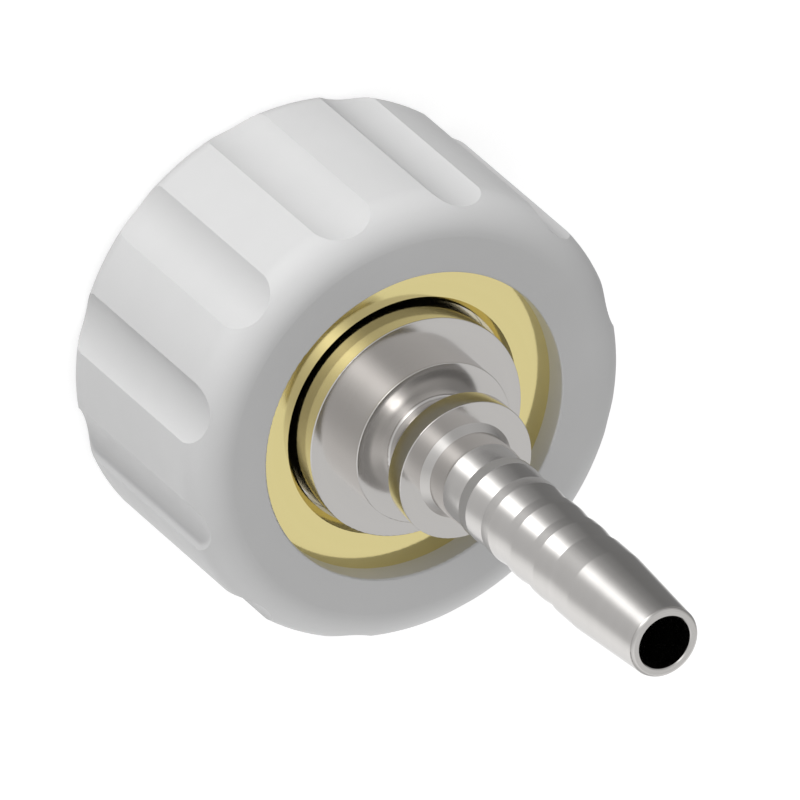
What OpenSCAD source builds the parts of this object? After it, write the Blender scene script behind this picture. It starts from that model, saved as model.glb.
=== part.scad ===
// Hose nipple with a hand nut: a barbed steel tail held in a fluted plastic nut with a brass threaded insert.
// The origin is the middle of the nut's rear face. +Z runs along the axis to the tip of the hose tail.

/* [Hand nut] */
// Outer diameter of the plastic nut
nut_d = 38; // [36:0.5:46]
// Length of the plastic nut
nut_l = 20.8; // [19:0.2:26]
// Radius of the rounded front corner
front_round = 3; // [1:0.1:3.6]
// Radius of the rounded rear corner
rear_round = 2; // [0.4:0.1:2.4]
// Diameter of the recess in the front face
recess_d = 26; // [24:0.2:28]
// Depth of the recess, from the front face to the brass
recess_depth = 2; // [1.2:0.1:3]
// Radius on the rim of the recess
recess_round = 0.15; // [0.05:0.05:0.4]

/* [Finger flutes] */
// Number of flutes around the nut
flute_count = 12; // [6:1:16]
// Width of a flute, straight across its edges
flute_w = 4.9; // [3:0.1:6]
// Depth of a flute, from the nut's outer surface
flute_depth = 0.86; // [0.5:0.02:1.2]

/* [Threaded insert] */
// Outer diameter of the insert over its ribs
insert_d = 31.6; // [30.6:0.1:32.6]
// Number of ribs that key the insert in the plastic
rib_count = 30; // [12:1:36]
// Height of a rib
rib_h = 0.5; // [0.2:0.05:0.7]
// Diameter at the root of the internal thread
thread_root_d = 26.44; // [25:0.02:27]
// Diameter at the crest of the internal thread, which the flange passes
thread_crest_d = 24.12; // [23.4:0.02:24.6]
// Diameter of the relief behind the thread
relief_d = 27.4; // [27.2:0.1:28.4]
// Width of the chamfer at the thread's entry
entry_chamfer = 0.8; // [0.4:0.1:1.2]
// Depth of the insert's rear end below the nut's rear face
insert_setback = 0.4; // [0.1:0.1:1]
// Thickness of the insert's front wall
wall_t = 2.5; // [1.8:0.1:3.2]
// Diameter of the bore in the front wall
wall_bore_d = 19.1; // [18.8:0.1:20.6]
// Chamfer on the rim of that bore
bore_chamfer = 0.5; // [0.1:0.05:0.8]

/* [Nipple head] */
// Radial clearance of the rear flange in the thread's crests
flange_gap = 0.26; // [0.1:0.02:0.5]
// Thickness of the rear flange
flange_t = 2; // [1.4:0.1:2.6]
// Axial play of the flange and the gasket in the relief, at each side
axial_play = 0.1; // [0.05:0.05:0.3]
// Radial clearance of the disk that stands in the insert's bore
disk_gap = 0.3; // [0.25:0.05:1.2]
// Height of the disk above the brass
disk_rise = 2.15; // [1.5:0.05:3]
// Diameter of the boss
boss_d = 13.56; // [12:0.02:15]
// Height of the boss above the disk
boss_h = 2.8; // [1.5:0.02:4]
// Diameter of the neck at its thinnest
neck_d = 7.8; // [7.6:0.02:9]
// Radius of the fillet between the boss and the neck
base_round = 0.24; // [0.1:0.02:0.36]
// Radius of the arc in which the neck flares out to the collar
flare_round = 3; // [2:0.1:3.6]
// Length of the neck
neck_l = 3.16; // [3:0.02:4.4]
// Diameter of the collar
collar_d = 11.56; // [10.4:0.02:12]
// Thickness of the collar
collar_t = 1.77; // [1:0.01:3]
// Radius that breaks the turned edges of the disk, the boss and the collar
edge_round = 0.06; // [0.02:0.02:0.3]

/* [Hose tail] */
// Diameter over the barbs
barb_d = 7.06; // [6.4:0.02:8]
// Depth of the step behind a barb's edge
barb_step = 0.26; // [0.1:0.02:0.5]
// Number of barb edges
barb_count = 5; // [2:1:7]
// Distance from one barb edge to the next
barb_pitch = 3.47; // [2.4:0.01:5]
// Length of the cylindrical land behind a barb's edge
land_l = 1.06; // [0.4:0.02:1.6]
// Length of the land at the last barb
last_land_l = 2.85; // [1:0.05:4]
// Length of the chamfer at the root of the tail
root_chamfer_l = 0.66; // [0.2:0.02:1.2]
// Width of the chamfer at the root of the tail
root_chamfer_w = 0.5; // [0.2:0.02:1]
// Length of the root's cylinder
root_land_l = 2.05; // [1:0.05:4]
// Length of the cone from the last land to the tip
lead_l = 8.8; // [5:0.05:14]
// Diameter of the tip
tip_d = 5.84; // [5.4:0.02:6.2]
// Radius on the rim of the tip
tip_round = 0.25; // [0.05:0.05:0.5]
// Diameter of the through bore
bore_d = 4.44; // [3:0.02:4.7]
// Chamfer on both rims of the through bore
bore_rim = 0.08; // [0.02:0.02:0.2]

/* [Gasket] */
// Thickness of the flat gasket
gasket_t = 2; // [1.5:0.1:3]
// Overlap of the gasket behind the thread's crests, which keeps it in the relief
gasket_grip = 0.25; // [0.1:0.05:0.6]
// Width of the gasket's ring
gasket_w = 3.8; // [2.5:0.1:5]

/* [Hidden] */
$fn = 72;
// Overshoot of a cutting body past the face that it opens
cut = 0.5;

nut_r = nut_d / 2;
insert_r = insert_d / 2;
rib_root_r = insert_r - rib_h;
wall_bore_r = wall_bore_d / 2;
relief_r = relief_d / 2;
thread_root_r = thread_root_d / 2;
thread_crest_r = thread_crest_d / 2;

// Heights in the nut, from its rear face up
brass_z = nut_l - recess_depth;
wall_z = brass_z - wall_t;
flange_top_z = wall_z - axial_play;
flange_z = flange_top_z - flange_t;
gasket_z = flange_z - gasket_t;
relief_z = gasket_z - axial_play;

// Heights on the nipple
disk_z = brass_z + disk_rise;
boss_z = disk_z + boss_h;
collar_z = boss_z + neck_l;
tail_z = collar_z + collar_t;
root_z = tail_z + root_chamfer_l;
first_cone_z = root_z + root_land_l;
cone_l = barb_pitch - land_l;
last_barb_z = first_cone_z + cone_l + (barb_count - 1) * barb_pitch;
lead_z = last_barb_z + last_land_l;
tip_z = lead_z + lead_l;

flange_r = thread_crest_r - flange_gap;
disk_r = wall_bore_r - disk_gap;
boss_r = boss_d / 2;
neck_r = neck_d / 2;
collar_r = collar_d / 2;
barb_r = barb_d / 2;
valley_r = barb_r - barb_step;
tip_r = tip_d / 2;
bore_r = bore_d / 2;
gasket_r = thread_crest_r + gasket_grip;

// A flute is cut by a cylinder whose edges on the nut are flute_w apart
flute_half = flute_w / 2;
flute_chord_r = sqrt(nut_r * nut_r - flute_half * flute_half);
flute_sag = flute_depth - (nut_r - flute_chord_r);
flute_cut_r = (flute_half * flute_half + flute_sag * flute_sag) / (2 * flute_sag);
flute_centre_r = nut_r - flute_depth + flute_cut_r;

// The neck is a cylinder up to the flare, whose arc starts along the cylinder and ends under the collar
flare_w = min(flare_round, collar_r - neck_r);
flare_h = sqrt(flare_round * flare_round - pow(flare_round - flare_w, 2));
flare_z = collar_z - flare_h;

// Facets of a full circle of which a profile shows an arc, fewer on the rounds that only break an edge
function arc_facets(r) = r < 0.5 ? 16 : 48;

// Stuff to take off an outer corner at (r, z) in a profile, up for an upper corner and down for a lower one
module corner_cut(r, z, rad, up) {
    side = up ? 1 : -1;
    difference() {
        translate([r - rad, up ? z - rad : z - cut])
            square([rad + cut, rad + cut]);
        translate([r - rad, z - side * rad])
            circle(r = rad, $fn = arc_facets(rad));
    }
}

// Stuff to take off the upper rim of a hole of radius r at height z
module rim_cut(r, z, rad) {
    difference() {
        translate([r - cut, z - rad])
            square([rad + cut, rad + cut]);
        translate([r + rad, z - rad])
            circle(r = rad, $fn = arc_facets(rad));
    }
}

// Outline of the ribbed insert, seen along the axis
module ribbed_outline() {
    step = 180 / rib_count;
    polygon([
        for (i = [0 : 2 * rib_count - 1])
            let (r = i % 2 == 0 ? insert_r : rib_root_r)
            [r * cos(i * step), r * sin(i * step)]
    ]);
}

module flute_cutters() {
    for (i = [0 : flute_count - 1])
        rotate(i * 360 / flute_count)
            translate([flute_centre_r, 0, -cut])
                cylinder(r = flute_cut_r, h = nut_l + 2 * cut, $fn = arc_facets(flute_cut_r));
}

module nut_profile() {
    difference() {
        square([nut_r, nut_l]);
        corner_cut(nut_r, nut_l, front_round, true);
        corner_cut(nut_r, 0, rear_round, false);
        translate([-cut, brass_z])
            square([recess_d / 2 + cut, recess_depth + cut]);
        rim_cut(recess_d / 2, nut_l, recess_round);
    }
}

module hand_nut() {
    color([0.80, 0.80, 0.80])
        difference() {
            rotate_extrude()
                nut_profile();
            translate([0, 0, -cut])
                linear_extrude(brass_z + cut)
                    ribbed_outline();
            flute_cutters();
        }
}

// Everything inside the insert that is open, from its rear end to its front face
module insert_cavity_profile() {
    polygon([
        [-cut, insert_setback - cut],
        [thread_root_r + entry_chamfer + cut, insert_setback - cut],
        [thread_root_r, insert_setback + entry_chamfer],
        [thread_root_r, relief_z],
        [relief_r, relief_z],
        [relief_r, wall_z],
        [wall_bore_r, wall_z],
        [wall_bore_r, brass_z - bore_chamfer],
        [wall_bore_r + bore_chamfer + cut, brass_z + cut],
        [-cut, brass_z + cut]
    ]);
}

module threaded_insert() {
    color([0.83, 0.79, 0.55])
        difference() {
            translate([0, 0, insert_setback])
                linear_extrude(brass_z - insert_setback)
                    ribbed_outline();
            rotate_extrude()
                intersection() {
                    insert_cavity_profile();
                    translate([0, -cut])
                        square([insert_r, brass_z + 2 * cut]);
                }
        }
}

// One barb: a sharp edge, a land and the cone down to the next edge
module barb_outline(z, land, fall) {
    polygon([
        [0, z],
        [barb_r, z],
        [barb_r, z + land],
        [valley_r, z + land + fall],
        [0, z + land + fall]
    ]);
}

module tail_profile() {
    polygon([
        [0, tail_z],
        [barb_r + root_chamfer_w, tail_z],
        [barb_r, root_z],
        [barb_r, first_cone_z],
        [valley_r, first_cone_z + cone_l],
        [0, first_cone_z + cone_l]
    ]);
    for (i = [0 : 1 : barb_count - 2])
        barb_outline(first_cone_z + cone_l + i * barb_pitch, land_l, cone_l);
    difference() {
        polygon([
            [0, last_barb_z],
            [barb_r, last_barb_z],
            [barb_r, lead_z],
            [tip_r, tip_z],
            [0, tip_z]
        ]);
        corner_cut(tip_r, tip_z, tip_round, true);
    }
}

module neck_profile() {
    translate([0, boss_z])
        square([neck_r, neck_l]);
    difference() {
        translate([0, flare_z])
            square([neck_r + flare_w, flare_h]);
        translate([neck_r + flare_round, flare_z])
            circle(r = flare_round, $fn = arc_facets(flare_round));
    }
    difference() {
        translate([0, boss_z])
            square([neck_r + base_round, base_round]);
        translate([neck_r + base_round, boss_z + base_round])
            circle(r = base_round, $fn = arc_facets(base_round));
    }
}

module head_profile() {
    translate([0, flange_z])
        square([flange_r, flange_t]);
    difference() {
        translate([0, flange_top_z])
            square([disk_r, disk_z - flange_top_z]);
        corner_cut(disk_r, disk_z, edge_round, true);
    }
    difference() {
        translate([0, disk_z])
            square([boss_r, boss_h]);
        corner_cut(boss_r, boss_z, edge_round, true);
    }
    neck_profile();
    difference() {
        translate([0, collar_z])
            square([collar_r, collar_t]);
        corner_cut(collar_r, tail_z, edge_round, true);
    }
}

module through_bore_profile() {
    polygon([
        [-cut, flange_z - cut],
        [bore_r + bore_rim + cut, flange_z - cut],
        [bore_r, flange_z + bore_rim],
        [bore_r, tip_z - bore_rim],
        [bore_r + bore_rim + cut, tip_z + cut],
        [-cut, tip_z + cut]
    ]);
}

module hose_nipple() {
    color([0.74, 0.72, 0.70])
        rotate_extrude()
            difference() {
                union() {
                    head_profile();
                    tail_profile();
                }
                through_bore_profile();
            }
}

module flat_gasket() {
    color([0.12, 0.12, 0.12])
        translate([0, 0, gasket_z])
            difference() {
                cylinder(r = gasket_r, h = gasket_t);
                translate([0, 0, -cut])
                    cylinder(r = gasket_r - gasket_w, h = gasket_t + 2 * cut);
            }
}

hand_nut();
threaded_insert();
hose_nipple();
flat_gasket();
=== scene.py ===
import math

import bmesh
import bpy
from mathutils import Matrix, Vector


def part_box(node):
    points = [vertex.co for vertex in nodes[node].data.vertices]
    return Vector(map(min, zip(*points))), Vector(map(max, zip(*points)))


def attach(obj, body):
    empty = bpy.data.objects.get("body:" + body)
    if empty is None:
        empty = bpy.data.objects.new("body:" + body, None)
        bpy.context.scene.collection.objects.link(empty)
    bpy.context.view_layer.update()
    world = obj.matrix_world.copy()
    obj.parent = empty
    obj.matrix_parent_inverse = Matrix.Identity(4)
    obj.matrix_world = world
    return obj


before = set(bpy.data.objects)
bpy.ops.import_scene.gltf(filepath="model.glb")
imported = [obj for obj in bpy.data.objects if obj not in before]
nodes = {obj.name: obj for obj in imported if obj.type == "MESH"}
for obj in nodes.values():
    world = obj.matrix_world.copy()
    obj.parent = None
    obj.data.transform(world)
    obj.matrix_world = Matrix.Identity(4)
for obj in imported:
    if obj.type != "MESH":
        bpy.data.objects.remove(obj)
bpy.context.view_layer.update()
scene = bpy.context.scene
MM = 0.001

nut_low, nut_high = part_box("hand_nut")
_, insert_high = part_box("threaded_insert")


# Camera: looks down on the nut's front face from the side of the tail, from far off with a long lens.

VIEW_AZIMUTH = math.radians(-93.874)
VIEW_OFF_AXIS = math.radians(40.523)
VIEW_ROLL = math.radians(40.88)
VIEW_DISTANCE = 2.65
LENS = 1556.34
SENSOR_WIDTH = 36
NEAREST_SEEN = 0.1
FARTHEST_SEEN = 10
# The point that the frame is centred on, seen from the middle of the brass face
AIM_RIGHT = -0.1672 * MM
AIM_UP = 1.1711 * MM

# The object's axis, the level direction to the camera's side, and the level direction across the view
axis = Vector((0, 0, 1))
toward = Vector((math.cos(VIEW_AZIMUTH), math.sin(VIEW_AZIMUTH), 0))
across = axis.cross(toward)


def make_camera():
    to_camera = math.cos(VIEW_OFF_AXIS) * axis + math.sin(VIEW_OFF_AXIS) * toward
    along = math.sin(VIEW_OFF_AXIS) * axis - math.cos(VIEW_OFF_AXIS) * toward
    image_right = math.cos(VIEW_ROLL) * along - math.sin(VIEW_ROLL) * across
    image_up = to_camera.cross(image_right)
    aim = Vector((0, 0, insert_high.z)) + AIM_RIGHT * image_right + AIM_UP * image_up
    data = bpy.data.cameras.new("camera")
    data.lens = LENS
    data.sensor_width = SENSOR_WIDTH
    data.clip_start = NEAREST_SEEN
    data.clip_end = FARTHEST_SEEN
    camera = bpy.data.objects.new("camera", data)
    scene.collection.objects.link(camera)
    facing = Matrix((image_right, image_up, to_camera)).transposed().to_4x4()
    camera.matrix_world = Matrix.Translation(aim + VIEW_DISTANCE * to_camera) @ facing
    return camera


scene.camera = make_camera()


# Materials

# Between these two values of a noise, a number or a colour passes from its low to its high value
NOISE_LOW = 0.3
NOISE_HIGH = 0.7


def new_material(name):
    """A material with an empty node tree but for its output and a Principled shader."""
    material = bpy.data.materials.new(name)
    material.use_nodes = True
    tree = material.node_tree
    tree.nodes.clear()
    output = tree.nodes.new("ShaderNodeOutputMaterial")
    shader = tree.nodes.new("ShaderNodeBsdfPrincipled")
    tree.links.new(shader.outputs["BSDF"], output.inputs["Surface"])
    return material, tree, shader


def object_place(tree):
    """Texture space in metres, fixed to the piece."""
    return tree.nodes.new("ShaderNodeTexCoord").outputs["Object"]


def turned_place(tree):
    """Texture space of a turned piece: distance from the axis and height, so that marks run round it."""
    split = tree.nodes.new("ShaderNodeSeparateXYZ")
    flat = tree.nodes.new("ShaderNodeCombineXYZ")
    radius = tree.nodes.new("ShaderNodeVectorMath")
    radius.operation = "LENGTH"
    join = tree.nodes.new("ShaderNodeCombineXYZ")
    tree.links.new(object_place(tree), split.inputs["Vector"])
    tree.links.new(split.outputs["X"], flat.inputs["X"])
    tree.links.new(split.outputs["Y"], flat.inputs["Y"])
    tree.links.new(flat.outputs["Vector"], radius.inputs[0])
    tree.links.new(radius.outputs["Value"], join.inputs["X"])
    tree.links.new(split.outputs["Z"], join.inputs["Y"])
    return join.outputs["Vector"]


def noise(tree, place, grain):
    """A noise whose grain is about so many metres wide."""
    node = tree.nodes.new("ShaderNodeTexNoise")
    node.inputs["Scale"].default_value = 1 / grain
    node.inputs["Detail"].default_value = 3
    tree.links.new(place, node.inputs["Vector"])
    return node.outputs["Fac"]


def vary_colour(tree, factor, low, high, socket):
    """Lets a colour wander between two values as the noise does."""
    ramp = tree.nodes.new("ShaderNodeValToRGB")
    low_end, high_end = ramp.color_ramp.elements
    low_end.position = NOISE_LOW
    low_end.color = (*low, 1)
    high_end.position = NOISE_HIGH
    high_end.color = (*high, 1)
    tree.links.new(factor, ramp.inputs["Fac"])
    tree.links.new(ramp.outputs["Color"], socket)


def vary_number(tree, factor, low, high, socket):
    """Lets a number wander between two values as the noise does."""
    spread = tree.nodes.new("ShaderNodeMapRange")
    spread.inputs["From Min"].default_value = NOISE_LOW
    spread.inputs["From Max"].default_value = NOISE_HIGH
    spread.inputs["To Min"].default_value = low
    spread.inputs["To Max"].default_value = high
    tree.links.new(factor, spread.inputs["Value"])
    tree.links.new(spread.outputs["Result"], socket)


def bump(tree, shader, height, depth):
    """Relief that follows the noise and is about so many metres deep."""
    node = tree.nodes.new("ShaderNodeBump")
    node.inputs["Strength"].default_value = 1
    node.inputs["Distance"].default_value = depth
    tree.links.new(height, node.inputs["Height"])
    tree.links.new(node.outputs["Normal"], shader.inputs["Normal"])


def grained_material(
    name, place_of, low, high, colour_grain, smooth, rough, gloss_grain, mark_depth, mark_grain, fixed
):
    """A material whose colour, roughness and relief each follow a noise.

    Grains and depth are in metres, and fixed holds the shader's inputs that are the same all over.
    """
    material, tree, shader = new_material(name)
    place = place_of(tree)
    for socket, value in fixed.items():
        shader.inputs[socket].default_value = value
    colours = noise(tree, place, colour_grain)
    vary_colour(tree, colours, low, high, shader.inputs["Base Color"])
    gloss = noise(tree, place, gloss_grain)
    vary_number(tree, gloss, smooth, rough, shader.inputs["Roughness"])
    bump(tree, shader, noise(tree, place, mark_grain), mark_depth)
    return material


def plastic_material():
    """Moulded plastic with the fine grain of its mould."""
    return grained_material(
        "moulded_grey_plastic",
        object_place,
        low=(0.51, 0.51, 0.51),
        high=(0.525, 0.525, 0.525),
        colour_grain=6 * MM,
        smooth=0.36,
        rough=0.42,
        gloss_grain=2 * MM,
        mark_depth=0.004 * MM,
        mark_grain=0.25 * MM,
        fixed={"IOR": 1.46},
    )


def turned_metal(name, low, high, smooth, rough, mark_depth):
    """A metal with fine turning marks round the axis."""
    return grained_material(
        name,
        turned_place,
        low=low,
        high=high,
        colour_grain=1.5 * MM,
        smooth=smooth,
        rough=rough,
        gloss_grain=0.4 * MM,
        mark_depth=mark_depth,
        mark_grain=0.12 * MM,
        fixed={"Metallic": 1},
    )


def steel_material():
    return turned_metal(
        "turned_stainless_steel",
        low=(0.65, 0.632, 0.614),
        high=(0.67, 0.652, 0.634),
        smooth=0.12,
        rough=0.15,
        mark_depth=0.00004 * MM,
    )


def brass_material():
    return turned_metal(
        "turned_brass",
        low=(0.895, 0.778, 0.365),
        high=(0.915, 0.797, 0.38),
        smooth=0.08,
        rough=0.12,
        mark_depth=0.00018 * MM,
    )


def rubber_material():
    """Matt black rubber, a little dusty."""
    return grained_material(
        "black_rubber",
        object_place,
        low=(0.014, 0.014, 0.014),
        high=(0.03, 0.03, 0.03),
        colour_grain=1.2 * MM,
        smooth=0.5,
        rough=0.7,
        gloss_grain=0.8 * MM,
        mark_depth=0.01 * MM,
        mark_grain=0.15 * MM,
        fixed={},
    )


looks = {
    "hand_nut": plastic_material(),
    "threaded_insert": brass_material(),
    "hose_nipple": steel_material(),
    "flat_gasket": rubber_material(),
}
for name, material in looks.items():
    for material_slot in nodes[name].material_slots:
        material_slot.material = material


# Thread of the insert: a parallel pipe thread on the cylinder that the CAD solid leaves at the root's radius

THREAD_PITCH = 1.814 * MM
THREAD_ROOT_R = 13.22 * MM
THREAD_CREST_R = 12.06 * MM
THREAD_FLANK = math.radians(27.5)
# Half of the ridge's width at its foot, as a share of the pitch
THREAD_FOOT = 0.46
# Part of the crest's half width that its rounding takes, and the corners that the rounding is drawn with
CREST_ROUND = 0.5
CREST_TURNS = [math.radians(angle) for angle in (-90, -60, -30, 0, 30, 60, 90)]
# The ridge starts inside the brass, so that no slit shows at its foot
THREAD_SINK = 0.06 * MM
THREAD_LOW = 1.3 * MM
THREAD_HIGH = 11.6 * MM
STEPS_A_TURN = 96
# Part of a turn over which the ridge grows at its ends, and the part of its height that it starts with
RUN_OUT = 0.4
LEAST_GROWTH = 0.02


def ridge_section(growth):
    """Section of the ridge as (radius, height from its middle): two flanks and a rounded crest."""
    full = THREAD_ROOT_R - THREAD_CREST_R
    foot = THREAD_PITCH * THREAD_FOOT
    crest = foot - full * math.tan(THREAD_FLANK)
    depth = full * growth
    root_r = THREAD_ROOT_R + THREAD_SINK
    crest_round = crest * CREST_ROUND
    shape = [(root_r, -foot), (THREAD_ROOT_R, -foot)]
    for turn in CREST_TURNS:
        radius = THREAD_ROOT_R - depth + crest_round * growth * (1 - math.cos(turn))
        side = (turn > 0) - (turn < 0)
        shape.append((radius, (crest - crest_round) * side + crest_round * math.sin(turn)))
    return shape + [(THREAD_ROOT_R, foot), (root_r, foot)]


def make_thread():
    mesh = bmesh.new()
    turns = (THREAD_HIGH - THREAD_LOW - THREAD_PITCH) / THREAD_PITCH
    steps = round(turns * STEPS_A_TURN)
    rings = []
    for step in range(steps + 1):
        done = step / STEPS_A_TURN
        growth = min(1, done / RUN_OUT, (steps / STEPS_A_TURN - done) / RUN_OUT)
        eased = growth * growth * (3 - 2 * growth)
        growth = max(LEAST_GROWTH, eased)
        angle = 2 * math.pi * done
        middle = THREAD_LOW + THREAD_PITCH * (0.5 + done)
        rings.append([
            mesh.verts.new((radius * math.cos(angle), radius * math.sin(angle), middle + height))
            for radius, height in ridge_section(growth)
        ])
    for ring, after in zip(rings, rings[1:]):
        count = len(ring)
        for corner in range(count):
            beside = (corner + 1) % count
            mesh.faces.new((ring[corner], ring[beside], after[beside], after[corner]))
    mesh.faces.new(rings[0])
    mesh.faces.new(reversed(rings[-1]))
    bmesh.ops.recalc_face_normals(mesh, faces=mesh.faces)
    data = bpy.data.meshes.new("insert_thread")
    mesh.to_mesh(data)
    mesh.free()
    for polygon in data.polygons:
        polygon.use_smooth = True
    data.materials.append(looks["threaded_insert"])
    thread = bpy.data.objects.new("insert_thread", data)
    scene.collection.objects.link(thread)
    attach(thread, "nut")


make_thread()


# Floor

FLOOR_SIZE = 1.6
# Keeps the floor clear of the nut's rear face
FLOOR_GAP = 0.02 * MM
FLOOR_GREYS = ((0.59, 0.59, 0.59), (0.61, 0.61, 0.61))
FLOOR_GRAIN = 120 * MM
FLOOR_ROUGHNESS = 0.9
# Brings the floor that the camera sees up to white
FLOOR_GLOW = 0.62


def make_floor():
    """A pale floor that the camera sees as white, but for the object's shadow."""
    mesh = bpy.data.meshes.new("floor")
    half = FLOOR_SIZE / 2
    height = nut_low.z - FLOOR_GAP
    mesh.from_pydata(
        [(-half, -half, height), (half, -half, height), (half, half, height), (-half, half, height)],
        [],
        [(0, 1, 2, 3)],
    )
    floor = bpy.data.objects.new("floor", mesh)
    scene.collection.objects.link(floor)
    material, tree, shader = new_material("pale_floor")
    shader.inputs["Roughness"].default_value = FLOOR_ROUGHNESS
    shader.inputs["Specular IOR Level"].default_value = 0
    shader.inputs["Emission Color"].default_value = (1, 1, 1, 1)
    spots = noise(tree, object_place(tree), FLOOR_GRAIN)
    vary_colour(tree, spots, *FLOOR_GREYS, shader.inputs["Base Color"])
    path = tree.nodes.new("ShaderNodeLightPath")
    seen = path.outputs["Is Camera Ray"]
    for ray in ("Is Glossy Ray", "Is Transmission Ray"):
        either = tree.nodes.new("ShaderNodeMath")
        either.operation = "MAXIMUM"
        tree.links.new(seen, either.inputs[0])
        tree.links.new(path.outputs[ray], either.inputs[1])
        seen = either.outputs["Value"]
    glow = tree.nodes.new("ShaderNodeMath")
    glow.operation = "MULTIPLY"
    glow.inputs[1].default_value = FLOOR_GLOW
    tree.links.new(seen, glow.inputs[0])
    tree.links.new(glow.outputs["Value"], shader.inputs["Emission Strength"])
    mesh.materials.append(material)
    # The polished metal mirrors the studio's panels below the horizon, as if it stood high above the floor
    floor.visible_glossy = False


make_floor()


# World: a soft studio, made of rings of panels round the object's axis. A ring lists its grey levels as
# (azimuth from the camera's side, level), and passes into the next ring between two elevations. Angles are
# in degrees.

# No panel is brighter than this level, of which the ramps hold fractions
PEAK = 2.2

# Below: what the tail's straight lands mirror in the camera's view
BELOW = [
    (-180, 1), (-165, 0.71), (-145, 0.22), (-85, 0.205), (-60, 0.275), (-40, 0.4), (-30, 0.545),
    (-20, 0.675), (-10, 0.78), (0, 0.76), (20, 0.65), (50, 0.6), (62, 0.61), (70, 0.68), (80, 0.89),
    (90, 1.02), (105, 1.07), (130, 0.98), (150, 0.9), (180, 1),
]
BELOW_TO_GAP = (-34, -26)
# Under the horizon
GAP = [
    (-180, 1), (-160, 0.6), (-145, 0.22), (-60, 0.25), (-40, 0.4), (-20, 0.6), (0, 0.65), (20, 0.6),
    (50, 0.45), (80, 0.42), (140, 0.42), (160, 0.7), (180, 1),
]
GAP_TO_LEVEL = (-12, 3)
# Over the horizon: what the chamfer at the tail's root mirrors
LEVEL = [
    (-180, 1.1), (-165, 0.8), (-145, 0.35), (-120, 0.38), (-94, 0.5), (-66, 0.5), (-50, 0.47),
    (-34, 0.48), (-26, 0.62), (-21, 0.8), (-13, 1.25), (-8, 1.3), (0, 1.15), (8, 0.87), (17, 0.7),
    (34, 0.62), (50, 0.6), (66, 0.74), (80, 0.85), (94, 0.88), (105, 0.78), (120, 0.62), (145, 0.58),
    (165, 0.85), (180, 1.1),
]
LEVEL_TO_ABOVE = (26, 46)
# Halfway up: what the faces across the axis mirror, and the sides of the disk and the boss by way of them
ABOVE = [
    (-180, 0.72), (-160, 0.6), (-140, 0.66), (-110, 0.72), (-80, 0.68), (-50, 0.62), (-40, 0.63),
    (-33, 0.73), (-20, 1.2), (-12, 1.45), (-5, 1.42), (3, 1.2), (12, 0.95), (22, 0.77), (40, 0.65),
    (60, 0.65), (80, 0.77), (100, 0.92), (130, 0.95), (160, 0.93), (180, 0.72),
]
ABOVE_TO_TOP = (58, 75)
TOP = [(-180, 0.72), (180, 0.72)]
# A narrow bright panel that is added to the rings: the streak along the tail's cones
STREAK = [
    (-180, 0), (-90, 0), (-50, 0.09), (-40, 0.13), (-35, 0.2), (-30, 0.34), (-25, 0.6), (-20, 1.05),
    (-15, 1.67), (-8, 2.17), (0, 1.84), (5, 1.17), (10, 0.55), (15, 0.2), (20, 0.06), (30, 0), (180, 0),
]
STREAK_FOOT = (-45.5, -35.5)
STREAK_HEAD = (6, 26)
DARK = [(-180, 0), (180, 0)]


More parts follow.
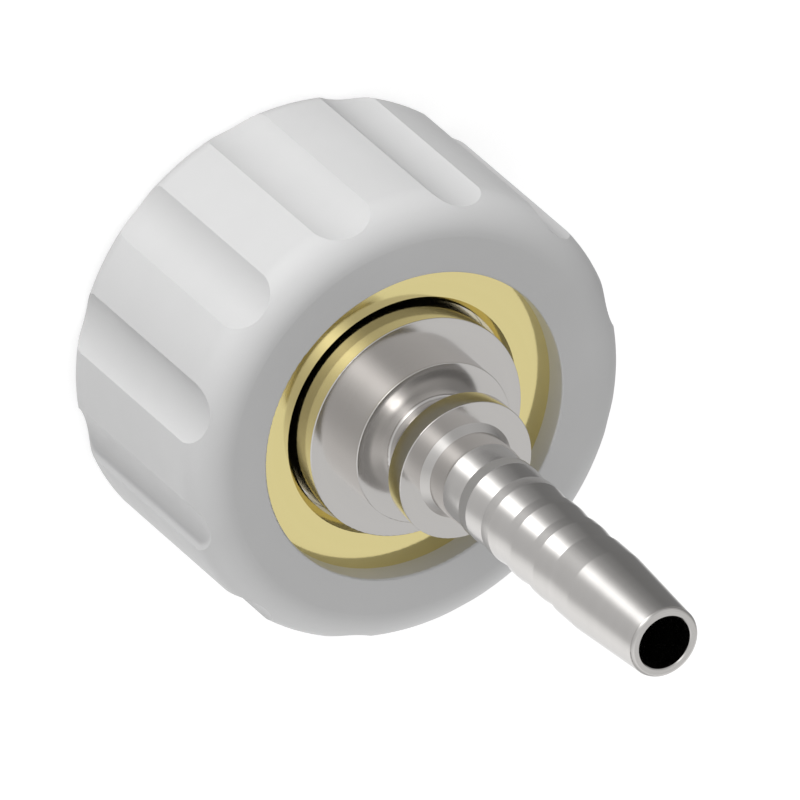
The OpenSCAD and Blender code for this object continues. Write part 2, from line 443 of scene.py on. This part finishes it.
def make_world():
    world = bpy.data.worlds.new("studio")
    scene.world = world
    world.use_nodes = True
    tree = world.node_tree
    tree.nodes.clear()
    output = tree.nodes.new("ShaderNodeOutputWorld")
    background = tree.nodes.new("ShaderNodeBackground")
    place = tree.nodes.new("ShaderNodeTexCoord")
    mapping = tree.nodes.new("ShaderNodeMapping")
    mapping.vector_type = "POINT"
    # Turns the wheel so that its middle, azimuth 0, is on the camera's side
    mapping.inputs["Rotation"].default_value = (0, 0, -VIEW_AZIMUTH)
    wheel = tree.nodes.new("ShaderNodeTexGradient")
    wheel.gradient_type = "RADIAL"
    split = tree.nodes.new("ShaderNodeSeparateXYZ")
    tree.links.new(place.outputs["Generated"], mapping.inputs["Vector"])
    tree.links.new(mapping.outputs["Vector"], wheel.inputs["Vector"])
    tree.links.new(place.outputs["Generated"], split.inputs["Vector"])

    def panels(stops):
        """A ring of grey levels."""
        ramp = tree.nodes.new("ShaderNodeValToRGB")
        ramp.color_ramp.interpolation = "LINEAR"
        elements = ramp.color_ramp.elements
        shades = []
        for azimuth, level in stops:
            share = level / PEAK
            shades.append(((azimuth + 180) / 360, (share, share, share, 1)))
        elements[0].color = shades[0][1]
        elements[1].color = shades[-1][1]
        for position, shade in shades[1:-1]:
            elements.new(position).color = shade
        tree.links.new(wheel.outputs["Fac"], ramp.inputs["Fac"])
        return ramp.outputs["Color"]

    def mixed(first, second, blend_type):
        """A node that mixes two colours."""
        mix = tree.nodes.new("ShaderNodeMix")
        mix.data_type = "RGBA"
        mix.blend_type = blend_type
        tree.links.new(first, mix.inputs["A"])
        tree.links.new(second, mix.inputs["B"])
        return mix

    def blend(low, high, rise_ends):
        """Passes from one ring to the next as the direction rises between two elevations."""
        start, end = rise_ends
        rise = tree.nodes.new("ShaderNodeMapRange")
        rise.interpolation_type = "SMOOTHSTEP"
        rise.inputs["From Min"].default_value = math.sin(math.radians(start))
        rise.inputs["From Max"].default_value = math.sin(math.radians(end))
        tree.links.new(split.outputs["Z"], rise.inputs["Value"])
        mix = mixed(low, high, "MIX")
        tree.links.new(rise.outputs["Result"], mix.inputs["Factor"])
        return mix.outputs["Result"]

    def add(first, second):
        """The sum of two levels of light."""
        mix = mixed(first, second, "ADD")
        mix.inputs["Factor"].default_value = 1
        return mix.outputs["Result"]

    studio = blend(panels(BELOW), panels(GAP), BELOW_TO_GAP)
    studio = blend(studio, panels(LEVEL), GAP_TO_LEVEL)
    studio = blend(studio, panels(ABOVE), LEVEL_TO_ABOVE)
    studio = blend(studio, panels(TOP), ABOVE_TO_TOP)
    dark = panels(DARK)
    streak = blend(dark, panels(STREAK), STREAK_FOOT)
    streak = blend(streak, dark, STREAK_HEAD)
    tree.links.new(add(studio, streak), background.inputs["Color"])
    background.inputs["Strength"].default_value = PEAK
    tree.links.new(background.outputs["Background"], output.inputs["Surface"])


make_world()


# Lamps: two small soft squares that stand just over the floor, so that little of their light enters the
# nut's recess

LAMP_DISTANCE = 0.6
LAMP_ELEVATION = math.radians(0.8)
LAMP_SIZE = 0.025


def area_lamp(name, azimuth, power):
    """A lamp that faces the nut, placed by its azimuth from the camera's side in degrees."""
    data = bpy.data.lights.new(name, "AREA")
    data.shape = "SQUARE"
    data.size = LAMP_SIZE
    data.energy = power
    lamp = bpy.data.objects.new(name, data)
    scene.collection.objects.link(lamp)
    round_axis = math.radians(azimuth)
    level_way = math.cos(round_axis) * toward + math.sin(round_axis) * across
    way = math.cos(LAMP_ELEVATION) * level_way + math.sin(LAMP_ELEVATION) * axis
    target = Vector((0, 0, nut_high.z / 2))
    lamp.location = target + LAMP_DISTANCE * way
    lamp.rotation_mode = "QUATERNION"
    lamp.rotation_quaternion = (-way).to_track_quat("-Z", "Y")
    # The metal mirrors the studio's panels instead
    lamp.visible_glossy = False


area_lamp("key", azimuth=-21, power=2.5)
area_lamp("fill", azimuth=125, power=1.45)

scene.view_settings.view_transform = "Standard"
